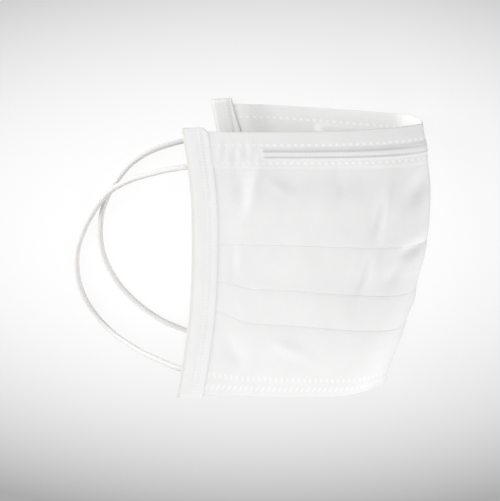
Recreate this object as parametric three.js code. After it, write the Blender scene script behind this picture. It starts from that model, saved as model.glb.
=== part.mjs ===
// A pleated surgical face mask of white non-woven cloth, opened a little and laid on its side.
// Millimetres. +X runs from the ear edges to the nose fold, +Y from the chin hem to the bridge hem,
// and +Z up from the surface that the mask lies on. The near half is the upper one.
import * as THREE from "three";

// Driving dimensions.
const SHEET_WIDTH = 172; // cloth along the hems, ear edge to ear edge
const SHEET_HEIGHT = 94.3; // pleated cloth between the hems, at an ear edge
const WALL = 1; // three plies of cloth
const GAP = 0.3; // clearance between touching pieces
const BAND_WIDTH = 9; // side band, from its folded edge
const BAND_WALL = 1; // one leaf of the side band
const BAND_OVERHANG = 0.9; // how far a band runs past each hem
const BAND_CHAMFER = 1.8; // cut on the band's inner corners
const WIRE_START = 27.5; // nose wire, from the near ear edge
const WIRE_LENGTH = 107;
const WIRE_WIDTH = 3.6;
const WIRE_THICKNESS = 0.8;
const WIRE_DEPTH = 7.7; // middle of the wire below the bridge hem
const LOOP_DIAMETER = 2; // round elastic
const LIP_RISE = 0.9; // how far a pleat's lip stands proud
const LIP_FADE = 9; // length of cloth over which the lip sinks back

// Sections across the mask, a row for each height. height is the share of the ear edge from the chin
// up. The near ear edge is at (earX, earZ) and the fold reaches (foldX, foldZ). lead and dip are the
// handle of the near half's curve at the ear, above and below are the fold's handles, run is the
// length in which the fold comes down to the surface, farX is the far ear edge, and fall is how much
// lower the cloth lies at the fold than at the ears.
const SECTIONS = [
  {
    height: 0.0, earX: 0.1, earZ: 49.4, foldX: 68.5, foldZ: 15.9,
    lead: 42, dip: 8.3, above: 28.8, below: 15, run: 16.1, farX: -8, fall: 0.2,
  },
  {
    height: 0.15, earX: 2.1, earZ: 47.4, foldX: 73.6, foldZ: 16.8,
    lead: 46, dip: 7.6, above: 25.1, below: 14, run: 16.8, farX: -3.1, fall: 2.8,
  },
  {
    height: 0.33, earX: 3.7, earZ: 44.4, foldX: 78.3, foldZ: 16.6,
    lead: 48, dip: 7.4, above: 19, below: 13, run: 17.1, farX: 1.1, fall: 4.4,
  },
  {
    height: 0.56, earX: 4.1, earZ: 42.1, foldX: 82.9, foldZ: 14.1,
    lead: 48, dip: 7.3, above: 10.3, below: 11, run: 16.4, farX: 5.2, fall: 3.1,
  },
  {
    height: 0.78, earX: 3.5, earZ: 41.6, foldX: 84, foldZ: 11.9,
    lead: 48, dip: 5.3, above: 5.6, below: 8, run: 14.6, farX: 5.5, fall: 2.6,
  },
  {
    height: 1.0, earX: 0.3, earZ: 39.1, foldX: 81, foldZ: 10.6,
    lead: 48, dip: 3.4, above: 3.7, below: 5, run: 11.6, farX: 1.9, fall: 0.6,
  },
];

// Lips of the three pleats, as shares of the ear edge from the chin up.
const PLEATS = [0.279, 0.408, 0.577];

// Soft dents and ridges of the near half. along and across are half lengths, turn is in degrees from
// the sheet's width, and rise is positive outwards.
const DENTS = [
  { from: 17.5, up: 75, along: 6, across: 2.6, turn: 92, rise: -0.7 },
  { from: 22.2, up: 74, along: 9, across: 2.4, turn: 70, rise: 0.8 },
  { from: 66, up: 66, along: 10, across: 2.4, turn: 74, rise: -0.9 },
  { from: 82, up: 74, along: 6, across: 3.4, turn: 45, rise: -1.4 },
  { from: 80, up: 53.5, along: 6, across: 3, turn: 20, rise: -1.5 },
  { from: 71, up: 44.5, along: 5, across: 3, turn: 50, rise: -0.5 },
  { from: 60.5, up: 46.5, along: 9, across: 2.4, turn: 77, rise: -0.7 },
  { from: 16, up: 17.5, along: 6.5, across: 2.6, turn: 130, rise: -0.8 },
  { from: 37.5, up: 17.7, along: 8, across: 2.4, turn: 159, rise: 0.7 },
  { from: 87.5, up: 33.5, along: 4, across: 3.4, turn: 90, rise: 0.7 },
];

const smooth = THREE.MathUtils.smoothstep;
const PLACE_STEP = 0.25; // finite step for the cloth's slopes
const LIFT_RUN = 7; // length in which the far half rises into its band
const CLOTH_ON_FLOOR = WALL / 2; // middle of the wall where the outer ply lies on the surface
const CLOTH_IN_BAND = BAND_WALL + GAP + WALL / 2;

// One column of the section table at a height, on smooth slopes through the rows.
function column(name, height) {
  const rows = SECTIONS;
  const last = rows.length - 1;
  const at = THREE.MathUtils.clamp(height, 0, 1);
  let i = 0;
  while (i < last - 1 && at > rows[i + 1].height) i += 1;
  const slope = (k) => {
    const a = rows[Math.max(0, k - 1)];
    const b = rows[Math.min(last, k + 1)];
    return (b[name] - a[name]) / (b.height - a.height);
  };
  const span = rows[i + 1].height - rows[i].height;
  const f = (at - rows[i].height) / span;
  const f2 = f * f;
  const f3 = f2 * f;
  return (
    (2 * f3 - 3 * f2 + 1) * rows[i][name] +
    (f3 - 2 * f2 + f) * span * slope(i) +
    (3 * f2 - 2 * f3) * rows[i + 1][name] +
    (f3 - f2) * span * slope(i + 1)
  );
}

// The middle of the cloth across the mask at one height: near half, fold, and the far half, which
// lies flat on the surface and rises a little into its band. x and z of the section are x and y here.
const sectionCache = new Map();
function section(height) {
  const key = height.toFixed(5);
  if (sectionCache.has(key)) return sectionCache.get(key);
  const c = (name) => column(name, height);
  const point = (x, z) => new THREE.Vector2(x, z);
  const ear = point(c("earX"), c("earZ"));
  const fold = point(c("foldX"), c("foldZ"));
  const landing = point(fold.x - c("run"), CLOTH_ON_FLOOR);
  const bandEnd = c("farX") + BAND_WIDTH + BAND_WALL;
  const lift = point(bandEnd + LIFT_RUN, CLOTH_ON_FLOOR);
  const path = new THREE.CurvePath();
  path.add(
    new THREE.CubicBezierCurve(
      ear,
      point(ear.x + c("lead"), ear.y - c("dip")),
      point(fold.x, fold.y + c("above")),
      fold,
    ),
  );
  path.add(
    new THREE.CubicBezierCurve(
      fold,
      point(fold.x, fold.y - c("below")),
      point(fold.x - c("run") * 0.55, CLOTH_ON_FLOOR),
      landing,
    ),
  );
  path.add(new THREE.LineCurve(landing, lift));
  path.add(
    new THREE.CubicBezierCurve(
      lift,
      point(lift.x - LIFT_RUN / 2, CLOTH_ON_FLOOR),
      point(bandEnd + LIFT_RUN / 2, CLOTH_IN_BAND),
      point(bandEnd, CLOTH_IN_BAND),
    ),
  );
  path.add(new THREE.LineCurve(point(bandEnd, CLOTH_IN_BAND), point(c("farX"), CLOTH_IN_BAND)));
  sectionCache.set(key, path);
  return path;
}

// 0 where the side bands press the cloth flat, and 1 past them.
function freeOfBands(from) {
  const soft = 14;
  const near = smooth(from, BAND_WIDTH, BAND_WIDTH + soft);
  return near * smooth(SHEET_WIDTH - from, BAND_WIDTH, BAND_WIDTH + soft);
}

// The height above the smooth cloth of the dents and ridges, at a distance from the near ear edge.
function dentRise(from, up) {
  let rise = 0;
  for (const dent of DENTS) {
    const turn = THREE.MathUtils.degToRad(dent.turn);
    const x = from - dent.from;
    const y = up - dent.up;
    const along = (x * Math.cos(turn) + y * Math.sin(turn)) / dent.along;
    const across = (y * Math.cos(turn) - x * Math.sin(turn)) / dent.across;
    rise += dent.rise * Math.exp(-along * along - across * across);
  }
  return rise * freeOfBands(from);
}

// How far a pleat's lip lifts the outer face.
function lipRise(from, up) {
  let rise = 0;
  for (const lip of PLEATS) {
    const below = lip * SHEET_HEIGHT - up;
    if (below > 0 && below < LIP_FADE) rise = Math.max(rise, LIP_RISE * (1 - below / LIP_FADE));
  }
  return rise * freeOfBands(from);
}

// The middle of the cloth at a distance from the near ear edge and a height above the chin hem.
function middle(from, up) {
  const height = up / SHEET_HEIGHT;
  const share = THREE.MathUtils.clamp(from / SHEET_WIDTH, 0, 1);
  const p = section(height).getPointAt(share);
  const towardFold = Math.sin(Math.PI * share) ** 4;
  const fall = column("fall", height) * towardFold;
  return new THREE.Vector3(p.x, up - fall, p.y);
}

// A point of the mask: a distance from the near ear edge, a height above the chin hem, and a
// distance out from the middle of the cloth.
function place(from, up, out) {
  const a = THREE.MathUtils.clamp(from, PLACE_STEP, SHEET_WIDTH - PLACE_STEP);
  const across = middle(a + PLACE_STEP, up).sub(middle(a - PLACE_STEP, up)).normalize();
  const upward = middle(a, up + PLACE_STEP).sub(middle(a, up - PLACE_STEP)).normalize();
  const outward = across.clone().cross(upward).normalize();
  return middle(from, up).addScaledVector(outward, out + dentRise(from, up));
}

// A closed solid from rings of points: each ring is a section, and the first and last are capped by
// the triangles of a flat outline.
function solidFromRings(rings, capTriangles) {
  const count = rings[0].length;
  const vertices = rings.flat().flatMap((p) => [p.x, p.y, p.z]);
  const faces = [];
  for (let r = 0; r + 1 < rings.length; r += 1) {
    for (let i = 0; i < count; i += 1) {
      const j = (i + 1) % count;
      const [a, b, c, d] = [r * count + i, r * count + j, (r + 1) * count + j, (r + 1) * count + i];
      faces.push(a, b, c, a, c, d);
    }
  }
  const end = (rings.length - 1) * count;
  for (const triangle of capTriangles) {
    const [a, b, c] = [...triangle].sort((m, n) => m - n);
    faces.push(a, c, b);
    faces.push(end + a, end + b, end + c);
  }
  const geometry = new THREE.BufferGeometry();
  geometry.setAttribute("position", new THREE.Float32BufferAttribute(vertices, 3));
  geometry.setIndex(faces);
  geometry.computeVertexNormals();
  return geometry;
}

// Distances from the near ear edge, closer together at the nose fold, with one just outside each band.
function clothColumns(count) {
  const crowding = 0.55;
  const bandMouth = BAND_WIDTH + BAND_WALL;
  const stops = [bandMouth, SHEET_WIDTH - bandMouth];
  for (let i = 0; i <= count; i += 1) {
    const u = i / count;
    const share = u + (crowding * Math.sin(2 * Math.PI * u)) / (2 * Math.PI);
    stops.push(THREE.MathUtils.lerp(BAND_WALL + GAP, SHEET_WIDTH - BAND_WALL - GAP, share));
  }
  stops.sort((a, b) => a - b);
  return stops;
}

// Heights above the chin hem, with a close pair at each pleat's lip.
function clothRows() {
  const lipStep = 0.7;
  const rowPitch = 5;
  const stops = [];
  let low = 0;
  for (const lip of [...PLEATS, 1]) {
    const high = lip * SHEET_HEIGHT;
    const count = Math.max(2, Math.round((high - low) / rowPitch));
    for (let i = 0; i <= count; i += 1) stops.push(THREE.MathUtils.lerp(low, high - 0.01, i / count));
    low = high + lipStep;
  }
  return stops;
}

// The pleated panel: one wall, whose ring at each column runs up the outer face and down the inner.
// Where the outer face is flattened on the surface, the pleats lift the inner face instead.
function panelGeometry() {
  const rows = clothRows();
  const rings = clothColumns(46).map((from) => {
    const flattened = smooth(from, SHEET_WIDTH * 0.5, SHEET_WIDTH * 0.62);
    const outer = [];
    const inner = [];
    for (const up of rows) {
      const rise = lipRise(from, up);
      outer.push(place(from, up, WALL / 2 + rise * (1 - flattened)));
      inner.push(place(from, up, -WALL / 2 - rise * flattened));
    }
    return [...inner, ...outer.reverse()];
  });
  const caps = [];
  const last = rows.length * 2 - 1;
  for (let i = 0; i + 1 < rows.length; i += 1) {
    caps.push([i, i + 1, last - i - 1], [i, last - i - 1, last - i]);
  }
  return solidFromRings(rings, caps);
}

// A side band: a tape folded round the ear edge, with a rounded fold and chamfered inner corners.
// side is 0 for the near band and 1 for the far one.
function bandGeometry(side) {
  const slot = WALL / 2 + GAP;
  const half = slot + BAND_WALL;
  const bend = BAND_WALL;
  const ear = (d) => (side === 0 ? d : SHEET_WIDTH - d);
  const low = -BAND_OVERHANG;
  const high = SHEET_HEIGHT + BAND_OVERHANG;
  const stops = 18;
  const rings = [];
  for (let i = 0; i <= stops; i += 1) {
    const up = THREE.MathUtils.lerp(low, high, i / stops);
    const width = BAND_WIDTH - BAND_CHAMFER * (i === stops ? 1 : 0);
    const outline = [
      [width, half],
      [bend, half],
      [bend * 0.3, half - bend * 0.3],
      [0, half - bend],
      [0, bend - half],
      [bend * 0.3, bend * 0.3 - half],
      [bend, -half],
      [width, -half],
      [width, -slot],
      [BAND_WALL, -slot],
      [BAND_WALL, slot],
      [width, slot],
    ];
    const ring = outline.map(([depth, out]) => {
      const hem = THREE.MathUtils.clamp(up, 0, SHEET_HEIGHT);
      const p = place(ear(depth), hem, out);
      p.y += up - hem;
      return p;
    });
    rings.push(side === 0 ? ring.reverse() : ring);
  }
  const end = rings[0].map((p) => new THREE.Vector2(p.x, p.z));
  return solidFromRings(rings, THREE.ShapeUtils.triangulateShape(end, []));
}

// The nose wire: a flat strip inside the bridge hem, following the cloth round the fold.
function wireGeometry() {
  const stops = 54;
  const outFace = -(WALL / 2 + GAP);
  const inFace = outFace - WIRE_THICKNESS;
  const upMiddle = SHEET_HEIGHT - WIRE_DEPTH;
  const rings = [];
  for (let i = 0; i <= stops; i += 1) {
    const from = WIRE_START + (WIRE_LENGTH * i) / stops;
    const corner = (up, out) => place(from, upMiddle + up, out);
    const half = WIRE_WIDTH / 2;
    rings.push([corner(-half, inFace), corner(half, inFace), corner(half, outFace), corner(-half, outFace)]);
  }
  return solidFromRings(rings, [
    [0, 1, 2],
    [0, 2, 3],
  ]);
}

// Routes of the two ear loops, chosen by hand. Each starts at its band's upper end, comes down to
// the surface, lies there in one open curve, and goes back to the band's lower end.
const NEAR_LOOP = [
  [1.6, 81.5, 39.9],
  [-3.1, 79.9, 37.3],
  [-9.6, 76.7, 31.4],
  [-16.6, 72.2, 22.0],
  [-23.4, 67.8, 13.2],
  [-29.6, 63.8, 8.0],
  [-34.4, 60.2, 5.2],
  [-37.9, 56.5, 3.8],
  [-41.0, 52.2, 2.5],
  [-43.8, 47.6, 1.5],
  [-46.1, 43.0, 1.1],
  [-48.7, 35.6, 1.1],
  [-49.3, 28.5, 1.1],
  [-48.4, 21.6, 1.1],
  [-45.8, 15.0, 1.2],
  [-42.0, 9.9, 1.9],
  [-37.3, 6.4, 4.2],
  [-31.9, 4.5, 8.5],
  [-26.0, 3.9, 14.0],
  [-19.9, 4.4, 21.4],
  [-14.0, 5.8, 29.2],
  [-8.8, 7.2, 36.2],
  [-3.9, 8.2, 42.0],
  [0.5, 8.9, 46.2],
];
const FAR_LOOP = [
  [3.1, 82.5, 1.9],
  [-3.0, 81.0, 1.4],
  [-8.4, 79.3, 1.1],
  [-15.0, 77.1, 1.1],
  [-21.0, 74.4, 1.1],
  [-26.3, 70.8, 1.1],
  [-30.7, 66.3, 1.1],
  [-36.2, 58.1, 1.1],
  [-39.2, 50.2, 1.1],
  [-40.1, 42.0, 1.1],
  [-39.1, 34.2, 1.1],
  [-36.0, 26.8, 1.1],
  [-31.5, 20.5, 1.1],
  [-25.4, 14.8, 1.1],
  [-18.3, 10.2, 1.1],
  [-13.0, 8.1, 1.4],
  [-7.4, 6.5, 1.9],
];

// A round elastic along a route.
function loopGeometry(route) {
  const sides = 8;
  const corners = [];
  for (let i = 0; i < sides; i += 1) {
    const angle = (2 * Math.PI * i) / sides;
    corners.push(new THREE.Vector2(Math.cos(angle), Math.sin(angle)).multiplyScalar(LOOP_DIAMETER / 2));
  }
  const outline = new THREE.Shape(corners);
  const path = new THREE.CatmullRomCurve3(route.map((p) => new THREE.Vector3(...p)));
  return new THREE.ExtrudeGeometry(outline, {
    steps: 48,
    extrudePath: path,
    bevelEnabled: false,
  });
}

function material(color, roughness, metalness = 0) {
  return new THREE.MeshStandardMaterial({ color, roughness, metalness });
}

function piece(name, geometry, surface) {
  const mesh = new THREE.Mesh(geometry, surface);
  mesh.name = name;
  return mesh;
}

const pieces = [
  piece("mask_body", panelGeometry(), material(0xf1f1f0, 0.85)),
  piece("side_band_near", bandGeometry(0), material(0xf3f3f2, 0.8)),
  piece("side_band_far", bandGeometry(1), material(0xf3f3f2, 0.8)),
  piece("nose_wire", wireGeometry(), material(0xd9dadb, 0.6)),
];
const loops = [
  piece("ear_loop_near", loopGeometry(NEAR_LOOP), material(0xeceae6, 0.75)),
  piece("ear_loop_far", loopGeometry(FAR_LOOP), material(0xeceae6, 0.75)),
];

// The frame's origin is under the middle of the mask without its loops.
const mask = new THREE.Group();
mask.add(...pieces);
const box = new THREE.Box3().setFromObject(mask, true);
mask.add(...loops);
mask.position.set(-(box.min.x + box.max.x) / 2, -(box.min.y + box.max.y) / 2, 0);

const part = new THREE.Group();
part.add(mask);
export default part;
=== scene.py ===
import math
from bisect import bisect_right

import bmesh
import bpy
from mathutils import Matrix, Vector, noise
from mathutils.geometry import interpolate_bezier


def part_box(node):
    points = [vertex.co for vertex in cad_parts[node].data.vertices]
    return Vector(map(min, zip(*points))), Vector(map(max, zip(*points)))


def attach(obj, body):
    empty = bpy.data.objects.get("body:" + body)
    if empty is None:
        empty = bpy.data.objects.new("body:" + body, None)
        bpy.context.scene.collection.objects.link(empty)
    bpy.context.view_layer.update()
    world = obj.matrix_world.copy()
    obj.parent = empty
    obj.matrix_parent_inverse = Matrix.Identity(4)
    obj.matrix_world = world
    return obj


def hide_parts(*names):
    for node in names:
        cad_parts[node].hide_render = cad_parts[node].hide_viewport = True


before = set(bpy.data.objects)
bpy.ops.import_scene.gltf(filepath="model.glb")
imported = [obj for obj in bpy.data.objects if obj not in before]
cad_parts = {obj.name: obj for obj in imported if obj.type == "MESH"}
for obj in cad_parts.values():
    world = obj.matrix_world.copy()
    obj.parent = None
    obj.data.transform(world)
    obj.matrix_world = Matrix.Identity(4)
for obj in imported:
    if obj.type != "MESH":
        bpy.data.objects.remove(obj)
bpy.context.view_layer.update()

# ---------------------------------------------------------------------------------------------
# Camera. The mask is seen from nearly above through a long lens, with the bridge hem at the top.
# The camera leans a little past the bridge and past the fold, so that it sees over the near half.
# ---------------------------------------------------------------------------------------------
MM = 0.001
BAND_OVERHANG = 0.9
near_band_low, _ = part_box("side_band_near")
ear_x = near_band_low.x
chin_y = near_band_low.y + BAND_OVERHANG * MM


def from_corner(x, y, z):
    """A point given from the near ear edge, the chin hem and the surface, in millimetres."""
    return Vector((ear_x + x * MM, chin_y + y * MM, z * MM))


aim = from_corner(22.3, 49.1, 30.0)
lean_to_fold, lean_to_bridge = math.radians(12.0), math.radians(19.0)
back = Vector((math.tan(lean_to_fold), math.tan(lean_to_bridge), 1.0)).normalized()
image_up = (Vector((0, 1, 0)) - back * back.y).normalized()
image_right = image_up.cross(back)
camera_distance = 1.0
frame_width_at_aim = 176.8 * MM

lens = bpy.data.cameras.new("camera")
lens.sensor_width = 36.0
lens.lens = lens.sensor_width * camera_distance / frame_width_at_aim
lens.clip_start, lens.clip_end = 0.05, 20.0
camera = bpy.data.objects.new("camera", lens)
bpy.context.collection.objects.link(camera)
facing = Matrix((image_right, image_up, back)).transposed().to_4x4()
camera.matrix_world = Matrix.Translation(aim + back * camera_distance) @ facing
bpy.context.scene.camera = camera
bpy.context.scene.view_settings.view_transform = "Standard"


# ---------------------------------------------------------------------------------------------
# Ear loops. Each is one length of soft round elastic, a knitted tube over a rubber core, 2 mm
# thick. Its two ends are pressed flat and welded to the inner face of a side band.
# ---------------------------------------------------------------------------------------------
class Signal:
    """A value or colour in a material: arithmetic on it adds the Math nodes."""

    def __init__(self, finish, socket):
        self.finish, self.socket = finish, socket

    def math(self, operation, *others):
        return self.finish.node("ShaderNodeMath", {"operation": operation}, [self, *others])

    def __add__(self, other):
        return self.math("ADD", other)

    def __sub__(self, other):
        return self.math("SUBTRACT", other)

    def __rsub__(self, other):
        return self.finish.node("ShaderNodeMath", {"operation": "SUBTRACT"}, [other, self])

    def __mul__(self, other):
        return self.math("MULTIPLY", other)

    def __truediv__(self, other):
        return self.math("DIVIDE", other)

    __radd__, __rmul__ = __add__, __mul__

    def ramp(self, low, high):
        """0 below low and 1 above high, smooth between them."""
        span = {"interpolation_type": "SMOOTHSTEP", "data_type": "FLOAT"}
        return self.finish.node("ShaderNodeMapRange", span, [self, low, high, 0.0, 1.0])

    def within(self, centre, half, soft):
        """1 where the value is within half of centre, falling to 0 over soft."""
        away = (self - centre).math("ABSOLUTE")
        return 1 - away.ramp(half - soft / 2, half + soft / 2)

    def cycle(self, pitch):
        """The distance to the nearest of the repeats that lie pitch apart."""
        turns = self / pitch
        return (turns - turns.math("ROUND")) * pitch


class Finish:
    """A material of one Principled shader. values are what is the same all over the surface."""

    def __init__(self, name, values):
        self.material = bpy.data.materials.new(name)
        self.material.use_nodes = True
        self.tree = self.material.node_tree
        self.shader = self.tree.nodes["Principled BSDF"]
        for socket, value in values.items():
            self.shader.inputs[socket].default_value = value

    def feed(self, socket, value):
        if isinstance(value, Signal):
            self.tree.links.new(value.socket, socket)
        else:
            socket.default_value = value

    def node(self, kind, settings=None, inputs=(), output=0):
        """A node of a kind: its settings first, then its inputs by place or by name."""
        made = self.tree.nodes.new(kind)
        for name, value in (settings or {}).items():
            setattr(made, name, value)
        named = inputs.items() if isinstance(inputs, dict) else enumerate(inputs)
        for place, value in named:
            self.feed(made.inputs[place], value)
        return Signal(self, made.outputs[output])

    def along_surface(self):
        """The piece's own UV map, which is in metres of cloth, as two values in millimetres."""
        uv = self.node("ShaderNodeUVMap", {"uv_map": "cloth"})
        split = self.node("ShaderNodeSeparateXYZ", inputs=[uv])
        return split / MM, self.node("ShaderNodeSeparateXYZ", inputs=[uv], output=1) / MM, uv

    def mix(self, factor, first, second):
        """Between two colours by a factor, through the Mix node's colour sockets."""
        sockets = {0: factor, 6: first, 7: second}
        return self.node("ShaderNodeMix", {"data_type": "RGBA"}, sockets, output=2)

    def bump(self, height, distance, strength):
        """Height from 0 to 1 as a relief of that distance, in metres."""
        sockets = {"Strength": strength, "Distance": distance, "Height": height}
        self.feed(self.shader.inputs["Normal"], self.node("ShaderNodeBump", inputs=sockets))


def link(name, shape):
    """The finished shape as an object of its own."""
    mesh = bpy.data.meshes.new(name)
    shape.to_mesh(mesh)
    shape.free()
    piece = bpy.data.objects.new(name, mesh)
    bpy.context.collection.objects.link(piece)
    return piece


def smooth(value, low, high):
    """0 below low and 1 above high, smooth between them."""
    f = min(1.0, max(0.0, (value - low) / (high - low)))
    return f * f * (3 - 2 * f)


def add_ring(tube, sides, radius, place, closed):
    """One ring of a tube's wall, put in its place: its corners and its edges."""
    made = bmesh.ops.create_circle(tube, segments=sides, radius=radius, cap_ends=closed)
    bmesh.ops.transform(tube, matrix=place, verts=made["verts"])
    corners = set(made["verts"])
    return made["verts"], [edge for edge in tube.edges if corners.issuperset(edge.verts)]


def join_rings(tube, rings):
    """A smooth wall through the rings' edges."""
    for ring, after in zip(rings, rings[1:]):
        bmesh.ops.bridge_loops(tube, edges=ring + after)
    for face in tube.faces:
        face.smooth = True
    bmesh.ops.recalc_face_normals(tube, faces=tube.faces)


LOOP_DIAMETER = 2.0
PRESSED_LENGTH = 5.5
PRESSED_WIDTH, PRESSED_HEIGHT = 1.35, 0.45
NEAR_LOOP = [
    (1.6, 81.5, 39.9), (-3.1, 79.9, 37.3), (-9.6, 76.7, 31.4), (-16.6, 72.2, 22.0),
    (-23.4, 67.8, 13.2), (-29.6, 63.8, 8.0), (-34.4, 60.2, 5.2), (-37.9, 56.5, 3.8),
    (-41.0, 52.2, 2.5), (-43.8, 47.6, 1.5), (-46.1, 43.0, 1.1), (-48.7, 35.6, 1.1),
    (-49.3, 28.5, 1.1), (-48.4, 21.6, 1.1), (-45.8, 15.0, 1.2), (-42.0, 9.9, 1.9),
    (-37.3, 6.4, 4.2), (-31.9, 4.5, 8.5), (-26.0, 3.9, 14.0), (-19.9, 4.4, 21.4),
    (-14.0, 5.8, 29.2), (-8.8, 7.2, 36.2), (-3.9, 8.2, 42.0), (0.5, 8.9, 46.2),
]
FAR_LOOP = [
    (3.1, 82.5, 1.9), (-3.0, 81.0, 1.4), (-8.4, 79.3, 1.1), (-15.0, 77.1, 1.1),
    (-21.0, 74.4, 1.1), (-26.3, 70.8, 1.1), (-30.7, 66.3, 1.1), (-36.2, 58.1, 1.1),
    (-39.2, 50.2, 1.1), (-40.1, 42.0, 1.1), (-39.1, 34.2, 1.1), (-36.0, 26.8, 1.1),
    (-31.5, 20.5, 1.1), (-25.4, 14.8, 1.1), (-18.3, 10.2, 1.1), (-13.0, 8.1, 1.4),
    (-7.4, 6.5, 1.9),
]
LOOP_ENDS = {
    "near": ((8.2, 82.6, 38.2), (5.2, 82.3, 38.9), (4.0, 9.1, 47.2), (7.0, 9.2, 46.9)),
    "far": ((10.4, 83.2, 3.4), (6.8, 83.1, 2.9), (-3.8, 6.2, 2.9), (-0.4, 6.2, 3.4)),
}


def smooth_path(points, per_span):
    """Points on a smooth curve through the given ones."""
    padded = [2 * points[0] - points[1], *points, 2 * points[-1] - points[-2]]
    path = []
    for before, start, end, after in zip(padded, padded[1:], padded[2:], padded[3:]):
        for i in range(per_span):
            f = i / per_span
            path.append(
                start
                + (end - before) * (f / 2)
                + (2 * before - 5 * start + 4 * end - after) * (f * f / 2)
                + (3 * start - before - 3 * end + after) * (f**3 / 2)
            )
    return [*path, points[-1]]


def elastic(name, route, ends):
    """A loop along its route, with flat ends welded under the band."""
    points = [from_corner(*p) for p in (ends[0], ends[1], *route, ends[2], ends[3])]
    path = smooth_path(points, per_span=8)
    sides, radius = 14, LOOP_DIAMETER * MM / 2
    knit = bmesh.new()
    uv = knit.loops.layers.uv.new("cloth")
    rings, placed, reach, last = [], {}, [0.0], len(path) - 1
    for a, b in zip(path, path[1:]):
        reach.append(reach[-1] + (b - a).length)
    for i, centre in enumerate(path):
        along = (path[min(i + 1, last)] - path[max(i - 1, 0)]).normalized()
        across = along.cross(Vector((0, 0, 1))).normalized()
        turned = Matrix((across, across.cross(along), along)).transposed().to_4x4()
        roundness = smooth(min(reach[i], reach[-1] - reach[i]), 0, PRESSED_LENGTH * MM)
        width = PRESSED_WIDTH + (1 - PRESSED_WIDTH) * roundness
        height = PRESSED_HEIGHT + (1 - PRESSED_HEIGHT) * roundness
        place = Matrix.Translation(centre) @ turned @ Matrix.Diagonal((width, height, 1.0, 1.0))
        corners, edges = add_ring(knit, sides, radius, place, i in (0, last))
        rings.append(edges)
        for step, vert in enumerate(corners):
            placed[vert] = (reach[i], step)
    join_rings(knit, rings)
    for face in knit.faces:
        at_seam = max(placed[vert][1] for vert in face.verts) == sides - 1
        for loop in face.loops:
            distance, step = placed[loop.vert]
            around = sides if at_seam and step == 0 else step
            loop[uv].uv = (distance, around / sides * 2 * math.pi * radius)
    return link(name, knit), path, reach[-1]


def elastic_finish():
    """Fine slanted ribs under a soft fuzz."""
    finish = Finish("soft_elastic", {"Roughness": 0.82, "Sheen Weight": 0.25, "Sheen Roughness": 0.5})
    along, around, uv = finish.along_surface()
    rib_pitch, rib_height, rib_slant = 0.62, 5.0, 2.2
    rib = (along.cycle(rib_pitch) * rib_height + around * rib_slant).math("SINE") * 0.5 + 0.5
    fuzz_settings = {"Scale": 2600.0, "Detail": 3.0, "Roughness": 0.6}
    fuzz = finish.node("ShaderNodeTexNoise", inputs={"Vector": uv, **fuzz_settings})
    shade = rib * 0.35 + fuzz * 0.65
    colour = finish.mix(shade, (0.585, 0.571, 0.561, 1), (0.67, 0.656, 0.646, 1))
    finish.feed(finish.shader.inputs["Base Color"], colour)
    finish.bump(shade, 0.06 * MM, 0.7)
    return finish.material


soft_elastic = elastic_finish()
for side, route in (("near", NEAR_LOOP), ("far", FAR_LOOP)):
    loop, path, loop_length = elastic("ear_elastic_" + side, route, LOOP_ENDS[side])
    loop.data.materials.append(soft_elastic)
    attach(loop, "root")
    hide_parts("ear_loop_" + side)


# ---------------------------------------------------------------------------------------------
# Mask body. A sheet of three plies of spunbond non-woven cloth, folded into three pleats, hemmed
# by rows of ultrasonic welds, creased down the nose, and lying on its far half.
# ---------------------------------------------------------------------------------------------
SHEET_WIDTH, SHEET_HEIGHT = 172.0, 94.3
CLOTH = 0.16
PLY_PITCH, PRESSED_SHARE = 0.17, 0.4
PLEAT_LIPS = [26.3, 38.5, 54.4]
LIPS_AT_BANDS = [30.3, 41.0, 54.6]
PLEAT_DEPTH = 7.5
CLIMB_BELOW_FOLD, CLIMB_PAST_FOLD = 5.5, 0.5
ABOVE_LIP = 1.15
SETTLE_FROM_LIP, SETTLED_FROM_LIP = 1.0, 9.0
BAND_WIDTH = 9.0
PRESSED_PAST_BAND = 14.0
ON_SURFACE = CLOTH / 2 + 0.04
IN_FAR_BAND = 1.5
PAST_BAND, LIFT_RUN = 1.0, 13.0
FLATTENED_FROM, FLATTENED_TO = 0.5, 0.62
SECTION_NAMES = "height ear_x ear_z fold_x fold_z lead dip above below run far_x fall".split()
SECTIONS = [
    (0.00, 0.1, 49.4, 68.5, 15.9, 42, 8.3, 28.8, 15, 16.1, -8.0, 0.2),
    (0.15, 2.1, 47.4, 73.2, 16.8, 46, 7.6, 25.1, 14, 16.8, -3.1, 2.8),
    (0.33, 3.7, 44.4, 77.1, 16.6, 48, 7.4, 19.0, 13, 17.1, 1.1, 4.4),
    (0.56, 4.1, 42.1, 82.2, 14.1, 48, 7.3, 10.3, 11, 16.4, 5.2, 3.1),
    (0.78, 3.5, 41.6, 83.1, 11.9, 48, 5.3, 5.6, 8, 14.6, 5.5, 2.6),
    (1.00, 0.3, 39.1, 79.6, 10.6, 48, 3.4, 3.7, 5, 11.6, 1.9, 0.6),
]
CHIN_CORNER, CHIN_CORNER_AT, CHIN_CORNER_HALF, CHIN_CORNER_HEIGHT = 2.8, 0.49, 0.04, 9.0
DENT_NAMES = "along_width up length width turn rise".split()
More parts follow.
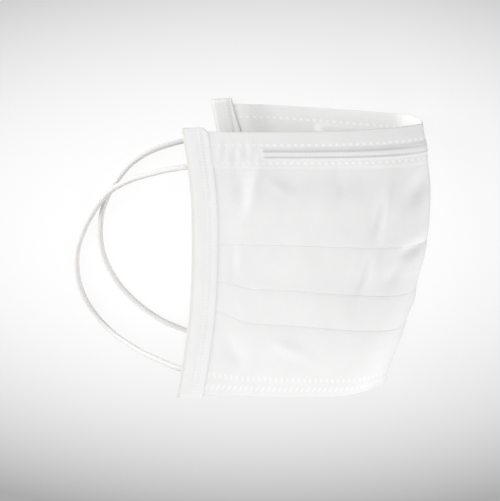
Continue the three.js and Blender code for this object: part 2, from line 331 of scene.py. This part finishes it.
DENTS = [
    (17.5, 75, 6, 2.4, 92, -0.95),
    (22.2, 74, 9, 2.2, 70, 1.05),
    (31, 75, 6, 1.4, 145, 0.35),
    (52, 79, 26, 6.5, 2, -1.2),
    (35, 77, 4, 1.8, 150, -0.22),
    (53.5, 75.5, 2.5, 1.6, 90, -0.25),
    (65.5, 64, 7, 2.1, 78, -1.15),
    (69.5, 67.5, 8, 1.9, 76, 1.0),
    (82, 74, 6, 3.2, 45, -1.5),
    (80, 53.5, 6, 2.0, 15, -1.7),
    (72, 45.5, 5, 2.4, 55, -0.8),
    (60.5, 45, 8, 1.7, 75, -0.9),
    (65, 48, 4.5, 1.8, 77, 0.5),
    (16, 17.5, 6.5, 2.2, 130, -0.9),
    (37.5, 17.7, 8, 1.4, 159, 0.6),
    (14.5, 47, 6, 1.8, 90, -0.8),
    (16.5, 49.5, 4, 1.5, 90, 0.4),
    (87.5, 33.5, 4, 3.0, 90, 0.8),
]
WAVE_NAMES = "length height seed size".split()
WAVES = [
    (17, 24, 3.1, 0.45),
    (6.5, 11, 8.7, 0.14),
]


def section_values(height):
    """The section table's values at a height, on smooth slopes through the rows."""
    at = min(1.0, max(0.0, height))
    last = len(SECTIONS) - 1
    i = max(k for k in range(last) if at >= SECTIONS[k][0])
    low, high = SECTIONS[i], SECTIONS[i + 1]
    span = high[0] - low[0]
    f = (at - low[0]) / span
    values = {}
    for c, name in enumerate(SECTION_NAMES):
        slopes = []
        for k in (i, i + 1):
            a, b = SECTIONS[max(0, k - 1)], SECTIONS[min(last, k + 1)]
            slopes.append((b[c] - a[c]) / (b[0] - a[0]) * span)
        values[name] = (
            (2 * f**3 - 3 * f**2 + 1) * low[c]
            + (f**3 - 2 * f**2 + f) * slopes[0]
            + (3 * f**2 - 2 * f**3) * high[c]
            + (f**3 - f**2) * slopes[1]
        )
    return values


section_lines = {}


def section_line(height):
    """The middle of the cloth across the mask at a height, and the distance along it."""
    key = round(height, 5)
    if key in section_lines:
        return section_lines[key]
    s = section_values(height)
    ear = Vector((s["ear_x"], s["ear_z"], 0))
    fold = Vector((s["fold_x"], s["fold_z"], 0))
    landing = Vector((fold.x - s["run"], ON_SURFACE, 0))
    band_inner = Vector((s["far_x"] + BAND_WIDTH + PAST_BAND, IN_FAR_BAND, 0))
    band_outer = Vector((s["far_x"], IN_FAR_BAND, 0))
    lift = Vector((band_inner.x + LIFT_RUN, ON_SURFACE, 0))
    level, in_band = Vector((6, 0, 0)), Vector((4, 0, 0))
    landing_handle = Vector((s["run"] * 0.45, 0, 0))
    # Each curve is its start, its two handles, its end and its number of steps.
    curves = [
        (ear, ear + Vector((s["lead"], -s["dip"], 0)), fold + Vector((0, s["above"], 0)), fold, 60),
        (fold, fold - Vector((0, s["below"], 0)), landing + landing_handle, landing, 40),
        (landing, landing.lerp(lift, 0.33), landing.lerp(lift, 0.67), lift, 12),
        (lift, lift - level, band_inner + level, band_inner, 14),
        (band_inner, band_inner - in_band, band_outer + in_band, band_outer, 6),
    ]
    points = [ear]
    for start, leave, arrive, end, count in curves:
        points += interpolate_bezier(start, leave, arrive, end, count + 1)[1:]
    reach = [0.0]
    for a, b in zip(points, points[1:]):
        reach.append(reach[-1] + (b - a).length)
    section_lines[key] = (points, reach, s["fall"])
    return section_lines[key]


def middle(along_width, up):
    """The middle of the pressed cloth, in millimetres from the near ear edge and the chin hem."""
    points, reach, fall = section_line(up / SHEET_HEIGHT)
    share = min(1.0, max(0.0, along_width / SHEET_WIDTH))
    at = share * reach[-1]
    i = min(bisect_right(reach, at) - 1, len(reach) - 2)
    p = points[i].lerp(points[i + 1], (at - reach[i]) / (reach[i + 1] - reach[i]))
    fall *= math.sin(math.pi * share) ** 4
    at_corner = math.exp(-(((share - CHIN_CORNER_AT) / CHIN_CORNER_HALF) ** 2))
    fall += CHIN_CORNER * at_corner * (1 - smooth(up, 0, CHIN_CORNER_HEIGHT))
    return Vector((p.x, up - fall, p.y))


def outward(along_width, up):
    """The direction out of the mask's outer face."""
    step = 0.4
    a = min(SHEET_WIDTH - step, max(step, along_width))
    across = middle(a + step, up) - middle(a - step, up)
    upward = middle(a, up + step) - middle(a, up - step)
    return across.cross(upward).normalized()


def free_of_bands(along_width):
    """0 where the side bands press the cloth flat, and 1 past them."""
    free = BAND_WIDTH + PRESSED_PAST_BAND
    from_far_ear = SHEET_WIDTH - along_width
    return smooth(along_width, BAND_WIDTH, free) * smooth(from_far_ear, BAND_WIDTH, free)


def outer_layer(up):
    """How far the outermost layer stands off the innermost one at a height, in ply pitches.

    It climbs over each pleat's inner fold up to the lip, and comes down gently above the lip.
    """
    hollow = rise = 0.0
    for lip in PLEAT_LIPS:
        fold = lip - PLEAT_DEPTH
        if up > lip:
            hollow = ABOVE_LIP * (1 - smooth(up, lip + SETTLE_FROM_LIP, lip + SETTLED_FROM_LIP))
        elif not rise:
            rise = smooth(up, fold - CLIMB_BELOW_FOLD, fold + CLIMB_PAST_FOLD)
    return hollow + (2 - hollow) * rise


def soft_relief(along_width, up):
    """Dents, ridges and the cloth's own slight waviness."""
    rise = 0.0
    for row in DENTS:
        dent = dict(zip(DENT_NAMES, row))
        turn = math.radians(dent["turn"])
        x, y = along_width - dent["along_width"], up - dent["up"]
        along = (x * math.cos(turn) + y * math.sin(turn)) / dent["length"]
        across = (y * math.cos(turn) - x * math.sin(turn)) / dent["width"]
        rise += dent["rise"] * math.exp(-along * along - across * across)
    for row in WAVES:
        wave = dict(zip(WAVE_NAMES, row))
        place = Vector((along_width / wave["length"], up / wave["height"], wave["seed"]))
        rise += noise.noise(place) * wave["size"]
    return rise * free_of_bands(along_width)


WIRE_START, WIRE_LENGTH, WIRE_WIDTH, WIRE_DEPTH = 27.5, 107.0, 3.4, 7.6
CORE_OFFSET = 1.05
WIRE_RIDGE, UNDER_WIRE = 0.34, 0.30
CORE_GROOVE, CORE_GROOVE_HALF = 0.16, 0.33
FLAP_STEP = 0.16
NEAR_GATHERS, FAR_GATHERS = 0.12, 0.03
TOP_WELDS = (4.6, 10.8)
TOP_FLAP = 12.1
TOP_PITCH = 2.45
CHIN_WELDS = (2.8, 6.5)
CHIN_FLAP = 8.6
CHIN_PITCH = 2.0


def wire_ridge(along_width, up):
    """1 over the nose wire and 0 beside it."""
    along = smooth(along_width, WIRE_START - 0.8, WIRE_START)
    along *= smooth(WIRE_START + WIRE_LENGTH + 0.8 - along_width, 0, 3.0)
    across = abs(SHEET_HEIGHT - up - WIRE_DEPTH)
    return along * (1 - smooth(across, WIRE_WIDTH / 2 - 0.3, WIRE_WIDTH / 2 + 0.5))


def gathers(along_width, up):
    """The small folds of the bridge hem beside the wire's ends."""
    down = SHEET_HEIGHT - up
    wire_end = WIRE_START + WIRE_LENGTH
    beside = 1 - smooth(along_width, WIRE_START - 4, WIRE_START)
    beside += smooth(along_width, wire_end, wire_end + 4)
    beside *= smooth(along_width, BAND_WIDTH, BAND_WIDTH + 3)
    beside *= smooth(SHEET_WIDTH - along_width, BAND_WIDTH, BAND_WIDTH + 3)
    fan = math.sin(2 * math.pi * (along_width + 0.25 * (down - 7)) / 3.7)
    fan += 0.5 * math.sin(2 * math.pi * (along_width - 0.4 * (down - 7)) / 5.9)
    size = NEAR_GATHERS if along_width < SHEET_WIDTH / 2 else FAR_GATHERS
    return size * beside * fan * math.exp(-(((down - WIRE_DEPTH - 0.1) / 4.2) ** 2))


def pleated_rows():
    """Rows up the unfolded cloth, from the chin flap's edge, inside, to the bridge flap's edge.

    Each row is its height above the chin hem, how much higher it lies at the bands, its layer, and
    its distance up the cloth. Layer -1 is a hem's inner flap.
    """
    rows, cloth_up = [], 0.0

    def add(up, layer, lift):
        nonlocal cloth_up
        if rows:
            cloth_up += math.hypot(up - rows[-1][0], (layer - rows[-1][2]) * PLY_PITCH)
        rows.append((up, lift, layer, cloth_up))

    def run(start, end, pitch, layer, lift_start=0.0, lift_end=0.0):
        count = max(1, round(abs(end - start) / pitch))
        for i in range(count + 1):
            f = i / count
            up = start + (end - start) * f
            add(up, layer(up) if callable(layer) else layer, lift_start + (lift_end - lift_start) * f)

    def turn(up, reach, layer, sign, lift=0.0):
        for angle in (30, 60, 90, 120, 150):
            a = math.radians(angle)
            add(up + reach * math.sin(a), layer + sign * 0.5 * math.cos(a), lift)

    run(CHIN_FLAP, 0.4, 1.2, -1.0)
    turn(0.2, -0.2, -0.5, -1)
    low, low_lift = 0.4, 0.0
    for lip, at_band in zip(PLEAT_LIPS, LIPS_AT_BANDS):
        lift, fold = at_band - lip, lip - PLEAT_DEPTH
        run(low, lip - 1.5, 1.5, outer_layer, low_lift, lift)
        turn(lip - 1.2, 1.2, 1.1, 1, lift)
        run(lip - 1.8, fold + 0.8, 3.0, 1.0, lift, lift)
        turn(fold + 0.4, -0.4, 0.5, 1, lift)
        run(fold + 1.0, lip - 1.8, 3.0, 0.0, lift, lift)
        for share in (0.0, 0.2, 0.4, 0.6, 0.8, 1.0):
            add(lip - 1.6 + 2.0 * share, ABOVE_LIP * smooth(share, 0, 1), lift)
        low, low_lift = lip + 1.2, lift
    flap, wire = SHEET_HEIGHT - TOP_FLAP, SHEET_HEIGHT - WIRE_DEPTH
    run(low, flap - 1.0, 1.6, outer_layer, low_lift, 0.0)
    run(flap - 0.2, flap + 0.3, 0.25, 0.0)
    run(flap + 0.9, wire - 2.6, 0.7, 0.0)
    run(wire - 2.3, wire + 2.3, 0.3, 0.0)
    run(wire + 2.9, SHEET_HEIGHT - 0.4, 0.8, 0.0)
    turn(SHEET_HEIGHT - 0.2, 0.2, -0.5, 1)
    run(SHEET_HEIGHT - 0.4, wire + 2.6, 1.2, -1.0)
    run(wire + 2.2, wire - 2.2, 0.44, -1.0)
    run(wire - 2.8, flap, 0.9, -1.0)
    return rows


def cloth_point(along_width, up, layer, top_layer=0.0):
    """Where a point of the pleated cloth lies, in millimetres from the near ear and chin.

    top_layer is the outermost layer there: on the far half it is the one on the table.
    """
    flattened = smooth(along_width / SHEET_WIDTH, FLATTENED_FROM, FLATTENED_TO)
    ridge, gather = wire_ridge(along_width, up), gathers(along_width, up)
    relief = soft_relief(along_width, up) + gather
    pitch = PLY_PITCH * (PRESSED_SHARE + (1 - PRESSED_SHARE) * free_of_bands(along_width))
    off = (layer - top_layer * flattened) * pitch - abs(gather) * flattened
    if layer > -0.5:
        step = smooth(up, SHEET_HEIGHT - TOP_FLAP - 0.15, SHEET_HEIGHT - TOP_FLAP + 0.15)
        from_core = abs(abs(SHEET_HEIGHT - up - WIRE_DEPTH) - CORE_OFFSET)
        groove = CORE_GROOVE * math.exp(-((from_core / CORE_GROOVE_HALF) ** 2))
        relief += FLAP_STEP * step + ridge * (WIRE_RIDGE - groove)
    else:
        off -= ridge * (UNDER_WIRE + WIRE_RIDGE * flattened)
    off += relief * (1 - flattened)
    return middle(along_width, up) + outward(along_width, up) * off


EDGE_INSET, COLUMN_PITCH = 0.5, 0.8


def pleated_cloth():
    """The folded sheet, with its rows."""
    rows, width = pleated_rows(), SHEET_WIDTH - 2 * EDGE_INSET
    columns = round(width / COLUMN_PITCH)
    sheet = bmesh.new()
    uv = sheet.loops.layers.uv.new("cloth")
    made = bmesh.ops.create_grid(sheet, x_segments=columns, y_segments=len(rows) - 1, size=0.5)
    placed = {}
    for vert in made["verts"]:
        column = round((vert.co.x + 0.5) * columns)
        row = round((vert.co.y + 0.5) * (len(rows) - 1))
        up, lift, layer, cloth_up = rows[row]
        along_width = EDGE_INSET + width * column / columns
        raised = up + lift * (1 - free_of_bands(along_width))
        placed[vert] = (along_width * MM, cloth_up * MM)
        vert.co = from_corner(*cloth_point(along_width, raised, layer, outer_layer(up)))
    for face in sheet.faces:
        face.smooth = True
        for loop in face.loops:
            loop[uv].uv = placed[loop.vert]
    return link("pleated_cloth", sheet), rows


body, rows = pleated_cloth()
chin_fold_up, bridge_fold_up = min(rows)[3], max(rows)[3]
cloth_height = rows[-1][3]
BOND_PITCH = 1.3


class Spunbond(Finish):
    """White spunbond: bonded points in a staggered grid, fine fibres and faint clouds."""

    def __init__(self, name):
        super().__init__(name, {"Roughness": 0.9, "IOR": 1.35})
        self.along, self.up, uv = self.along_surface()
        clouds_settings = {"Scale": 170.0, "Detail": 3.0}
        self.clouds = self.node("ShaderNodeTexNoise", inputs={"Vector": uv, **clouds_settings})
        fibre_settings = {"Scale": 1500.0, "Detail": 4.0, "Roughness": 0.65, "Distortion": 1.2}
        fibres = self.node("ShaderNodeTexNoise", inputs={"Vector": uv, **fibre_settings})
        wave_along = (self.along * (math.pi / BOND_PITCH)).math("COSINE")
        wave_up = (self.up * (math.pi / BOND_PITCH)).math("COSINE")
        bonds = (wave_along * wave_up).math("ABSOLUTE").ramp(0.72, 0.95)
        light = self.clouds * 0.6 + fibres * 0.4
        self.colour = self.mix(light, (0.685, 0.685, 0.683, 1), (0.745, 0.745, 0.743, 1))
        self.height = fibres * 0.55 + 0.45 - bonds * 0.4

    def weld(self, welds):
        """The welds make the cloth whiter and press its fibres flat."""
        colour = self.mix(welds * 0.8, self.colour, (0.805, 0.805, 0.80, 1))
        self.feed(self.shader.inputs["Base Color"], colour)
        self.bump(self.height * (1 - welds * 0.9), 0.05 * MM, 0.6)
        return self.material


def outer_ply():
    """The outer ply, with the hems' weld rows and two dark lines along the nose wire: painted shade in
    the grooves over the wire's two cores, standing also for the cores seen through the ply.
    """
    cloth = Spunbond("outer_ply")
    along, up = cloth.along, cloth.up
    down = (up - bridge_fold_up).math("ABSOLUTE")
    rise = (up - chin_fold_up).math("ABSOLUTE")
    wire_end = WIRE_START + WIRE_LENGTH
    on_wire = along.ramp(WIRE_START - 0.4, WIRE_START + 0.2)
    on_wire = on_wire * (1 - along.ramp(wire_end - 0.2, wire_end + 0.4))
    on_wire = on_wire * (1 - up.ramp(bridge_fold_up, bridge_fold_up + 0.1))
    # Painted shade: two dark lines darken the colour in the grooves over the wire's cores, where shade
    # falls; they stand also for the cores seen through the ply.
    upper_core_and_shade = down.within(WIRE_DEPTH - CORE_OFFSET, 0.40, 0.35)
    lower_core_and_shade = down.within(WIRE_DEPTH + CORE_OFFSET, 0.36, 0.35)
    lines = (upper_core_and_shade + lower_core_and_shade) * on_wire * (1 - along.ramp(74, 85) * 0.6)
    lines = lines * (1 - along.cycle(BOND_PITCH).within(0.0, 0.15, 0.3) * 0.25)
    cloth.colour = cloth.mix(lines * 0.8, cloth.colour, (0.50, 0.505, 0.51, 1))
    spots = along.cycle(TOP_PITCH).within(0.0, 0.54, 0.35)
    spots = spots * (along.ramp(WIRE_START - 2, WIRE_START + 1) * 0.5 + 0.5)
    weld_rows = [down.within(row, 0.43, 0.35) for row in TOP_WELDS]
    welds = spots * (weld_rows[0] + weld_rows[1])
    for row, slant in zip(CHIN_WELDS, (-0.28, 0.28)):
        dash = (along + (rise - row) * slant).cycle(CHIN_PITCH).within(0.0, 0.42, 0.3)
        welds = welds + dash * rise.within(row, 0.85, 0.4) * 0.65
    return cloth.weld(welds)


def inner_ply():
    """The softer ply on the wearer's side, with the bridge hem's weld rows. Its colour is lighter and
    warmer than the outer ply's: partly its own cloth, partly painted light for the light that comes
    through the cloth into the shaded inside.
    """
    finish = Finish("inner_ply", {"Roughness": 0.9, "IOR": 1.35})
    along, up, uv = finish.along_surface()
    clouds = finish.node("ShaderNodeTexNoise", inputs={"Vector": uv, "Scale": 170.0, "Detail": 3.0})
    # Painted light: the ply's colour is set lighter and warmer, partly for the light that comes
    # through the cloth into the shaded inside.
    colour = finish.mix(clouds, (0.79, 0.776, 0.757, 1), (0.825, 0.811, 0.792, 1))
    down = (up - bridge_fold_up).math("ABSOLUTE")
    spots = along.cycle(TOP_PITCH).within(0.0, 0.62, 0.35)
    weld_rows = [down.within(row, 0.5, 0.35) for row in TOP_WELDS]
    welds = spots * (weld_rows[0] + weld_rows[1])
    colour = finish.mix(welds * 0.5, colour, (0.89, 0.885, 0.87, 1))
    finish.feed(finish.shader.inputs["Base Color"], colour)
    finish.bump(clouds * (1 - welds), 0.1 * MM, 0.5)
    return finish.material


body.data.materials.append(outer_ply())
body.data.materials.append(inner_ply())
wall = body.modifiers.new("wall", "SOLIDIFY")
wall.thickness = CLOTH * MM
wall.offset = 0.0
wall.material_offset = 1
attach(body, "root")
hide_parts("mask_body")
cloth_height * MM


# ---------------------------------------------------------------------------------------------
# Nose wire. A flat white plastic strip over two thin metal cores, slid into the bridge hem and
# held there by the weld rows on both sides of it. It shows only as a ridge with two dark lines.
# ---------------------------------------------------------------------------------------------
STRIP_HALF_WIDTH, STRIP_HALF_THICKNESS = 1.45, 0.17


def wire_strip():
    """The strip between the bridge hem's two layers of cloth."""
    strip = bmesh.new()
    stops, sides = 90, 12
    up = SHEET_HEIGHT - WIRE_DEPTH
    size = Matrix.Diagonal((STRIP_HALF_WIDTH, STRIP_HALF_THICKNESS, 1, 1))
    rings = []
    for i in range(stops + 1):
        along_width = WIRE_START + WIRE_LENGTH * i / stops
        over = cloth_point(along_width, up, 0.0)
        under = cloth_point(along_width, up, -1.0)
        ahead = (middle(along_width + 0.5, up) - middle(along_width - 0.5, up)).normalized()
        out = (over - under).normalized()
        rise = ahead.cross(out).normalized()
        turned = Matrix((rise, out, rise.cross(out))).transposed().to_4x4()
        place = Matrix.Translation((over + under) / 2) @ turned @ size
        _, edges = add_ring(strip, sides, 1.0, place, i in (0, stops))
        rings.append(edges)
    join_rings(strip, rings)
    for vert in strip.verts:
        vert.co = from_corner(*vert.co)
    return link("wire_strip", strip)


def wire_finish():
    finish = Finish("white_strip", {"Roughness": 0.45, "IOR": 1.49})
    place = finish.node("ShaderNodeTexCoord", output=3)
    grain = finish.node("ShaderNodeTexNoise", inputs={"Vector": place, "Scale": 1200.0, "Detail": 2.0})
    colour = finish.mix(grain, (0.70, 0.70, 0.70, 1), (0.78, 0.78, 0.78, 1))
    finish.feed(finish.shader.inputs["Base Color"], colour)
    finish.bump(grain, 0.01 * MM, 0.4)
    return finish.material


strip = wire_strip()
strip.data.materials.append(wire_finish())
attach(strip, "root")
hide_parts("nose_wire")


# ---------------------------------------------------------------------------------------------
# Side bands. A strip of stiffer non-woven tape is folded round each ear edge, over the pressed
# pleats and the loop's ends, and welded through all the layers by a ladder of small dashes.
# ---------------------------------------------------------------------------------------------
TAPE = 0.22
OUTER_LEAF = {"near": 0.36, "far": 1.3}
INNER_LEAF = -0.8
OUTER_EDGE_DROP = {"near": 0.08, "far": 1.0}
INNER_EDGE_DROP = 0.36
EDGE_DROP_FROM, EDGE_DROP_TO = 5.0, 8.5
END_PINCH, END_PINCH_REACH = 0.6, 0.8
FOLD_DEPTH = 2.0
TOP_CORNER = {"near": (1.8, 1.9), "far": (1.2, 12.0)}
SKEW = {"near": 0.065, "far": 0.17}
SKEW_HEIGHT = 7.0
WELD_LINE_NAMES = "depth half groove".split()
WELD_LINES = [
    (7.0, 0.5, 0.16),
    (5.2, 0.4, 0.08),
]
LOOP_WELDS = (81.9, 9.0)
UV_MARGIN = 3.0


def tape_profile(outer_leaf):
    """Across the tape: depth from the ear edge, distance out of the cloth, distance from the fold."""
    flat = BAND_WIDTH - FOLD_DEPTH
    count = round(flat / 0.5)
    stops = [(BAND_WIDTH - flat * i / count, outer_leaf) for i in range(count)]
    centre, half = (outer_leaf + INNER_LEAF) / 2, (outer_leaf - INNER_LEAF) / 2
    for angle in range(0, 181, 15):
        a = math.radians(angle)
        stops.append((FOLD_DEPTH - FOLD_DEPTH * math.sin(a), centre + half * math.cos(a)))
    stops += [(FOLD_DEPTH + flat * i / count, INNER_LEAF) for i in range(1, count + 1)]
    tape = [0.0]
    for before, after in zip(stops, stops[1:]):
        tape.append(tape[-1] + math.dist(before, after))
    return [(*stop, distance - tape[-1] / 2) for stop, distance in zip(stops, tape)]


def band_relief(depth, up):
    """Weld lines, the pleats' thickness showing through, and slight waves."""
    rise = noise.noise(Vector((depth / 9, up / 14, 5.3))) * 0.10
    for lip in LIPS_AT_BANDS:
        rise += 0.08 * math.exp(-(((up - lip + 4.0) / 4.2) ** 4))
    for row in WELD_LINES:
        line = dict(zip(WELD_LINE_NAMES, row))
        rise -= line["groove"] * math.exp(-(((depth - line["depth"]) / line["half"]) ** 2))
    return rise * smooth(depth, FOLD_DEPTH, FOLD_DEPTH + 1.5)


def side_band(name, side):
    """The tape round an ear edge, its leaves on both faces of the cloth."""
    profile = tape_profile(OUTER_LEAF[side])
    low, high = -BAND_OVERHANG, SHEET_HEIGHT + BAND_OVERHANG
    rows = round((high - low) / 0.8)
    cut, cut_height = TOP_CORNER[side]
    tape = bmesh.new()
    uv = tape.loops.layers.uv.new("cloth")
    made = bmesh.ops.create_grid(tape, x_segments=len(profile) - 1, y_segments=rows, size=0.5)
    placed = {}
    for vert in made["verts"]:
        depth, out, from_fold = profile[round((vert.co.x + 0.5) * (len(profile) - 1))]
        up = low + (high - low) * round((vert.co.y + 0.5) * rows) / rows
        placed[vert] = (from_fold * MM, (up + UV_MARGIN) * MM)
        depth -= max(0.0, depth - (BAND_WIDTH - cut)) * (1 - smooth(high - up, 0, cut_height))
        hem = min(SHEET_HEIGHT, max(0.0, up))
        along_width = depth if side == "near" else SHEET_WIDTH - depth
        outer = out > 0
        lean = 1.0 if outer else -1.0
        on_floor = outer and side == "far"
        off = out if on_floor else out + lean * band_relief(depth, up)
        edge_drop = OUTER_EDGE_DROP[side] if outer else INNER_EDGE_DROP
        off -= lean * edge_drop * smooth(depth, EDGE_DROP_FROM, EDGE_DROP_TO)
        off *= 1 - END_PINCH * (1 - smooth(min(up - low, high - up), 0, END_PINCH_REACH))
        if side == "far":
            off = min(off, IN_FAR_BAND - TAPE / 2 - 0.05)
        point = middle(along_width, hem) + outward(along_width, hem) * off
        point.y += up - hem + depth * SKEW[side] * smooth(up, SHEET_HEIGHT - SKEW_HEIGHT, high)
        vert.co = from_corner(*point)
    for face in tape.faces:
        face.smooth = True
        for loop in face.loops:
            loop[uv].uv = placed[loop.vert]
    return link(name, tape)


def band_tape():
    """Tape with a ladder of dashes, a fine line beside it, a round weld over each loop's end, and
    painted shade along its fold.
    """
    tape = Spunbond("band_tape")
    from_fold = tape.along.math("ABSOLUTE")
    rungs = tape.up.cycle(1.15).within(0.0, 0.26, 0.2) * from_fold.within(6.4, 1.3, 0.3)
    welds = rungs * 0.4 + from_fold.within(7.0, 0.22, 0.3) * 0.35
    welds = welds * (tape.clouds * 1.6 - 0.2)
    for weld_up in LOOP_WELDS:
        off_fold, off_up = from_fold - 2.9, tape.up - weld_up - UV_MARGIN
        from_weld = (off_fold * off_fold + off_up * off_up).math("SQRT")
        welds = welds + from_weld.within(0.85, 0.15, 0.4) * 0.5
    # Painted shade: the tape is darker and warmer for the first 2 mm from its fold, where its rounded
    # edge turns away from the light.
    folded = 1 - from_fold.ramp(0.4, 1.9)
    tape.colour = tape.mix(folded, tape.colour, (0.60, 0.592, 0.57, 1))
    return tape.weld(welds)


band_cloth = band_tape()
for side in ("near", "far"):
    band = side_band("folded_tape_" + side, side)
    band.data.materials.append(band_cloth)
    leaf = band.modifiers.new("leaf", "SOLIDIFY")
    leaf.thickness = TAPE * MM
    leaf.offset = 0.0
    cut_edges = band.modifiers.new("cut_edges", "EDGE_SPLIT")
    cut_edges.split_angle = math.radians(40)
    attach(band, "root")
    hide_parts("side_band_" + side)


# ---------------------------------------------------------------------------------------------
# Floor and light. A white table that glows by its own emission (painted light, filling the shadows
# on it) and whose colour falls to grey round the mask (a painted pool of light), under a soft
# lamp overhead, a low lamp on the ears' side, a small one on the chin's side and a pale room.
# ---------------------------------------------------------------------------------------------
FADE_RIGHT, FADE_UP = -6.0, 8.0
FADE_REACH, FADE_SIDEWAYS, FADE_POWER, FADE_LIMIT = 0.134, 0.26, 2.6, 0.6
LIT_BY_LAMPS = 0.1


def floor():
    plane = bmesh.new()
    bmesh.ops.create_grid(plane, x_segments=2, y_segments=2, size=3.0)
    table = link("floor", plane)
    # The table glows through its emission: painted light that fills the shadows under the mask.
    values = {"Roughness": 1.0, "Specular IOR Level": 0.0, "Emission Strength": 0.9}
    finish = Finish("table_painted_glow", values)
    place = finish.node("ShaderNodeTexCoord", output=3)
    centre = aim + (image_right * FADE_RIGHT + image_up * FADE_UP) * MM

    def reach(way):
        dot = {"operation": "DOT_PRODUCT"}
        return finish.node("ShaderNodeVectorMath", dot, [place, way], output=1) - centre.dot(way)

    sideways, upward = reach(image_right), reach(image_up)
    away = (sideways * sideways * FADE_SIDEWAYS + upward * upward).math("SQRT")
    # Painted pool of light: the table's colour and glow fall from white round the centre to grey
    # farther out.
    painted_falloff = (away / FADE_REACH).math("POWER", FADE_POWER).math("MINIMUM", FADE_LIMIT)
    black = (0.0, 0.0, 0.0, 1)
    colour = finish.mix(painted_falloff, (1.0, 1.0, 1.0, 1), black)
    finish.feed(finish.shader.inputs["Base Color"], finish.mix(LIT_BY_LAMPS, black, colour))
    finish.feed(finish.shader.inputs["Emission Color"], colour)
    table.data.materials.append(finish.material)


def lamp(name, place, size, power):
    light = bpy.data.lights.new(name, "AREA")
    light.shape = "DISK"
    light.size = size
    light.energy = power
    made = bpy.data.objects.new(name, light)
    made.location = place
    made.rotation_euler = (aim - Vector(place)).to_track_quat("-Z", "Y").to_euler()
    bpy.context.collection.objects.link(made)


floor()
lamp("top_lamp", place=(0.28, 0.46, 1.3), size=0.8, power=7.3)
lamp("ear_side_lamp", place=(-1.3, 0.4, 0.46), size=1.2, power=23.4)
lamp("chin_side_lamp", place=(0.26, -0.32, 0.22), size=0.3, power=1.47)
room = bpy.data.worlds.new("room")
room.use_nodes = True
background = room.node_tree.nodes["Background"]
background.inputs["Color"].default_value = (1.0, 1.0, 1.0, 1.0)
background.inputs["Strength"].default_value = 0.4
bpy.context.scene.world = room
